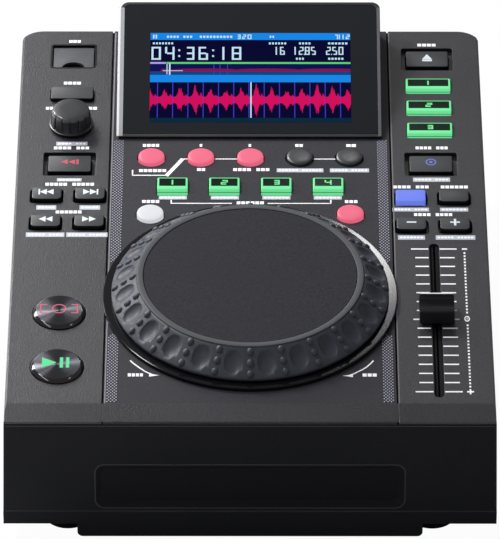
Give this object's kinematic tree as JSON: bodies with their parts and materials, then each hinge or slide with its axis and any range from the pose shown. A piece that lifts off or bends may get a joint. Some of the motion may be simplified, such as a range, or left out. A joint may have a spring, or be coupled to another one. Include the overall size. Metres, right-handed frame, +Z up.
{
  "type": "tabletop disc and media player",
  "caption": "Sloping tabletop media player with a large jog wheel, tilted colour screen, pitch fader, lit keys, push knob, covered memory port and a motorised front disc tray",
  "frame": {"origin": "on the table under the middle of the body, at the bottom centre of the bounding box", "axes": "X across the width to the right, Y from the front face to the rear, Z up"},
  "size_m": [0.2226, 0.291, 0.1145],
  "materials": {
    "case_black": "fine textured black ABS",
    "case_grey": "dark grey speckled paint on ABS",
    "panel_grey": "fine satin dark grey",
    "screen_black": "satin black moulding",
    "lens_glass": "clear hard-coated acrylic, black printed border",
    "display": "lit colour display",
    "rear_plate": "black powder coat",
    "socket_black": "black moulded sockets with plated contacts",
    "rocker": "black rocker",
    "foot_rubber": "dull moulded rubber",
    "screw_steel": "zinc plated",
    "board_green": "solder mask over glass laminate",
    "ring_black": "polished black",
    "jog_grey": "soft satin dark grey",
    "jog_metal": "turned and clear anodised",
    "jog_plate": "spun dark anodised",
    "turned_steel": "turned",
    "knob_grey": "satin dark grey with fine flutes",
    "inner_metal": "pressed and zinc plated",
    "fader_black": "satin black with a steel lever",
    "cover_grey": "satin grey",
    "port_metal": "nickel plated shell",
    "tray_grey": "moulded dark grey",
    "door_black": "satin black",
    "gear_white": "natural acetal",
    "drive_steel": "galvanised sheet",
    "turntable_black": "black acetal on a steel shaft",
    "sled_grey": "grey moulded carriage",
    "key_dark": "satin dark grey caps",
    "key_spun": "spun dark metal face with a polished black bevel",
    "key_pink": "lit translucent cap",
    "key_black": "polished black cap",
    "key_green": "lit translucent cap with a dark window",
    "key_white": "lit translucent cap",
    "key_blue": "lit translucent cap"
  },
  "bodies": {
    "case": {"bottom_case": "case_black", "top_case": "case_grey", "front_panel": "case_black", "centre_panel": "panel_grey", "screen_housing": "screen_black", "screen_lens": "lens_glass", "display_module": "display", "rear_panel": "rear_plate", "rear_sockets": "socket_black", "feet": "foot_rubber", "screws": "screw_steel", "circuit_boards": "board_green", "jog_base_ring": "ring_black", "jog_bearing": "turned_steel", "fader_body": "inner_metal", "port_socket": "port_metal", "drive_frame": "drive_steel"},
    "jog": {"jog_wheel": "jog_grey", "jog_trim_ring": "jog_metal", "jog_touch_plate": "jog_plate", "jog_shaft": "turned_steel"},
    "knob": {"browse_knob": "knob_grey"},
    "plunger": {"browse_plunger": "inner_metal"},
    "fader": {"fader_cap": "fader_black"},
    "cover": {"port_cover": "cover_grey"},
    "tray": {"disc_tray": "tray_grey", "tray_door": "door_black"},
    "loading_gear": {"tray_gear": "gear_white"},
    "spindle": {"turntable": "turntable_black"},
    "sled": {"pickup_sled": "sled_grey"},
    "screw": {"lead_screw": "turned_steel"},
    "rocker": {"power_rocker": "rocker"},
    "back_key": {"back_key": "key_dark"},
    "direction_key": {"direction_key": "key_dark"},
    "track_back_key": {"track_back_key": "key_dark"},
    "track_next_key": {"track_next_key": "key_dark"},
    "search_back_key": {"search_back_key": "key_dark"},
    "search_next_key": {"search_next_key": "key_dark"},
    "cue_key": {"cue_key": "key_spun"},
    "play_key": {"play_key": "key_spun"},
    "loop_key_1": {"loop_key_1": "key_pink"},
    "loop_key_2": {"loop_key_2": "key_pink"},
    "loop_key_3": {"loop_key_3": "key_pink"},
    "loop_key_4": {"loop_key_4": "key_black"},
    "loop_key_5": {"loop_key_5": "key_black"},
    "pad_1": {"pad_1": "key_green"},
    "pad_2": {"pad_2": "key_green"},
    "pad_3": {"pad_3": "key_green"},
    "pad_4": {"pad_4": "key_green"},
    "shift_key": {"shift_key": "key_white"},
    "slip_key": {"slip_key": "key_pink"},
    "eject_key": {"eject_key": "key_dark"},
    "source_key_1": {"source_key_1": "key_green"},
    "source_key_2": {"source_key_2": "key_green"},
    "source_key_3": {"source_key_3": "key_green"},
    "jog_mode_key": {"jog_mode_key": "key_dark"},
    "key_lock_key": {"key_lock_key": "key_blue"},
    "tap_key": {"tap_key": "key_dark"},
    "bend_minus_key": {"bend_minus_key": "key_dark"},
    "bend_plus_key": {"bend_plus_key": "key_dark"}
  },
  "joints": [
    {"name": "jog_spin", "type": "hinge", "parent": "case", "child": "jog", "pos_m": [0, -0.05915, 0.07509], "axis": [0, -0.0872, 0.9962], "continuous": true},
    {"name": "knob_push", "type": "slide", "parent": "case", "child": "plunger", "axis": [0, 0.0872, -0.9962], "range_m": [0, 0.0008], "stiffness_N_per_m": 900},
    {"name": "knob_turn", "type": "hinge", "parent": "plunger", "child": "knob", "pos_m": [-0.085, 0.07039, 0.08643], "axis": [0, -0.0872, 0.9962], "continuous": true},
    {"name": "fader_slide", "type": "slide", "parent": "case", "child": "fader", "axis": [0, 0.9962, 0.0872], "range_m": [-0.0525, 0.0475]},
    {"name": "cover_hinge", "type": "hinge", "parent": "case", "child": "cover", "pos_m": [-0.085, 0.1328, 0.09018], "axis": [-1, 0, 0], "range_deg": [0, 95]},
    {"name": "tray_slide", "type": "slide", "parent": "case", "child": "tray", "axis": [0, -1, 0], "range_m": [0, 0.126]},
    {"name": "loading_gear_turn", "type": "hinge", "parent": "case", "child": "loading_gear", "pos_m": [0.052, -0.1255, 0.0247], "axis": [0, 0, 1], "range_deg": [0, 730]},
    {"name": "spindle_turn", "type": "hinge", "parent": "case", "child": "spindle", "pos_m": [0, -0.076, 0.029], "axis": [0, 0, 1], "continuous": true},
    {"name": "sled_slide", "type": "slide", "parent": "case", "child": "sled", "axis": [0, 1, 0], "range_m": [0, 0.036]},
    {"name": "lead_screw_turn", "type": "hinge", "parent": "case", "child": "screw", "pos_m": [0.027, -0.027, 0.016], "axis": [0, 1, 0], "range_deg": [0, 4400]},
    {"name": "rocker_tilt", "type": "hinge", "parent": "case", "child": "rocker", "pos_m": [0.04, 0.13125, 0.044], "axis": [-1, 0, 0], "range_deg": [0, 16]},
    {"name": "back_key_press", "type": "slide", "parent": "case", "child": "back_key", "axis": [0, 0.0872, -0.9962], "range_m": [0, 0.001], "stiffness_N_per_m": 400},
    {"name": "direction_key_press", "type": "slide", "parent": "case", "child": "direction_key", "axis": [0, 0.0872, -0.9962], "range_m": [0, 0.001], "stiffness_N_per_m": 400},
    {"name": "track_back_key_press", "type": "slide", "parent": "case", "child": "track_back_key", "axis": [0, 0.0872, -0.9962], "range_m": [0, 0.001], "stiffness_N_per_m": 400},
    {"name": "track_next_key_press", "type": "slide", "parent": "case", "child": "track_next_key", "axis": [0, 0.0872, -0.9962], "range_m": [0, 0.001], "stiffness_N_per_m": 400},
    {"name": "search_back_key_press", "type": "slide", "parent": "case", "child": "search_back_key", "axis": [0, 0.0872, -0.9962], "range_m": [0, 0.001], "stiffness_N_per_m": 400},
    {"name": "search_next_key_press", "type": "slide", "parent": "case", "child": "search_next_key", "axis": [0, 0.0872, -0.9962], "range_m": [0, 0.001], "stiffness_N_per_m": 400},
    {"name": "cue_key_press", "type": "slide", "parent": "case", "child": "cue_key", "axis": [0, 0.0872, -0.9962], "range_m": [0, 0.001], "stiffness_N_per_m": 400},
    {"name": "play_key_press", "type": "slide", "parent": "case", "child": "play_key", "axis": [0, 0.0872, -0.9962], "range_m": [0, 0.001], "stiffness_N_per_m": 400},
    {"name": "loop_key_1_press", "type": "slide", "parent": "case", "child": "loop_key_1", "axis": [0, 0.0872, -0.9962], "range_m": [0, 0.001], "stiffness_N_per_m": 400},
    {"name": "loop_key_2_press", "type": "slide", "parent": "case", "child": "loop_key_2", "axis": [0, 0.0872, -0.9962], "range_m": [0, 0.001], "stiffness_N_per_m": 400},
    {"name": "loop_key_3_press", "type": "slide", "parent": "case", "child": "loop_key_3", "axis": [0, 0.0872, -0.9962], "range_m": [0, 0.001], "stiffness_N_per_m": 400},
    {"name": "loop_key_4_press", "type": "slide", "parent": "case", "child": "loop_key_4", "axis": [0, 0.0872, -0.9962], "range_m": [0, 0.001], "stiffness_N_per_m": 400},
    {"name": "loop_key_5_press", "type": "slide", "parent": "case", "child": "loop_key_5", "axis": [0, 0.0872, -0.9962], "range_m": [0, 0.001], "stiffness_N_per_m": 400},
    {"name": "pad_1_press", "type": "slide", "parent": "case", "child": "pad_1", "axis": [0, 0.0872, -0.9962], "range_m": [0, 0.001], "stiffness_N_per_m": 400},
    {"name": "pad_2_press", "type": "slide", "parent": "case", "child": "pad_2", "axis": [0, 0.0872, -0.9962], "range_m": [0, 0.001], "stiffness_N_per_m": 400},
    {"name": "pad_3_press", "type": "slide", "parent": "case", "child": "pad_3", "axis": [0, 0.0872, -0.9962], "range_m": [0, 0.001], "stiffness_N_per_m": 400},
    {"name": "pad_4_press", "type": "slide", "parent": "case", "child": "pad_4", "axis": [0, 0.0872, -0.9962], "range_m": [0, 0.001], "stiffness_N_per_m": 400},
    {"name": "shift_key_press", "type": "slide", "parent": "case", "child": "shift_key", "axis": [0, 0.0872, -0.9962], "range_m": [0, 0.001], "stiffness_N_per_m": 400},
    {"name": "slip_key_press", "type": "slide", "parent": "case", "child": "slip_key", "axis": [0, 0.0872, -0.9962], "range_m": [0, 0.001], "stiffness_N_per_m": 400},
    {"name": "eject_key_press", "type": "slide", "parent": "case", "child": "eject_key", "axis": [0, 0.0872, -0.9962], "range_m": [0, 0.001], "stiffness_N_per_m": 400},
    {"name": "source_key_1_press", "type": "slide", "parent": "case", "child": "source_key_1", "axis": [0, 0.0872, -0.9962], "range_m": [0, 0.001], "stiffness_N_per_m": 400},
    {"name": "source_key_2_press", "type": "slide", "parent": "case", "child": "source_key_2", "axis": [0, 0.0872, -0.9962], "range_m": [0, 0.001], "stiffness_N_per_m": 400},
    {"name": "source_key_3_press", "type": "slide", "parent": "case", "child": "source_key_3", "axis": [0, 0.0872, -0.9962], "range_m": [0, 0.001], "stiffness_N_per_m": 400},
    {"name": "jog_mode_key_press", "type": "slide", "parent": "case", "child": "jog_mode_key", "axis": [0, 0.0872, -0.9962], "range_m": [0, 0.001], "stiffness_N_per_m": 400},
    {"name": "key_lock_key_press", "type": "slide", "parent": "case", "child": "key_lock_key", "axis": [0, 0.0872, -0.9962], "range_m": [0, 0.001], "stiffness_N_per_m": 400},
    {"name": "tap_key_press", "type": "slide", "parent": "case", "child": "tap_key", "axis": [0, 0.0872, -0.9962], "range_m": [0, 0.001], "stiffness_N_per_m": 400},
    {"name": "bend_minus_key_press", "type": "slide", "parent": "case", "child": "bend_minus_key", "axis": [0, 0.0872, -0.9962], "range_m": [0, 0.001], "stiffness_N_per_m": 400},
    {"name": "bend_plus_key_press", "type": "slide", "parent": "case", "child": "bend_plus_key", "axis": [0, 0.0872, -0.9962], "range_m": [0, 0.001], "stiffness_N_per_m": 400}
  ],
  "couplings": [
    {"joint": "loading_gear_turn", "follows": "tray_slide", "rad_per_m": 100},
    {"joint": "lead_screw_turn", "follows": "sled_slide", "rad_per_m": 2094.4}
  ]
}
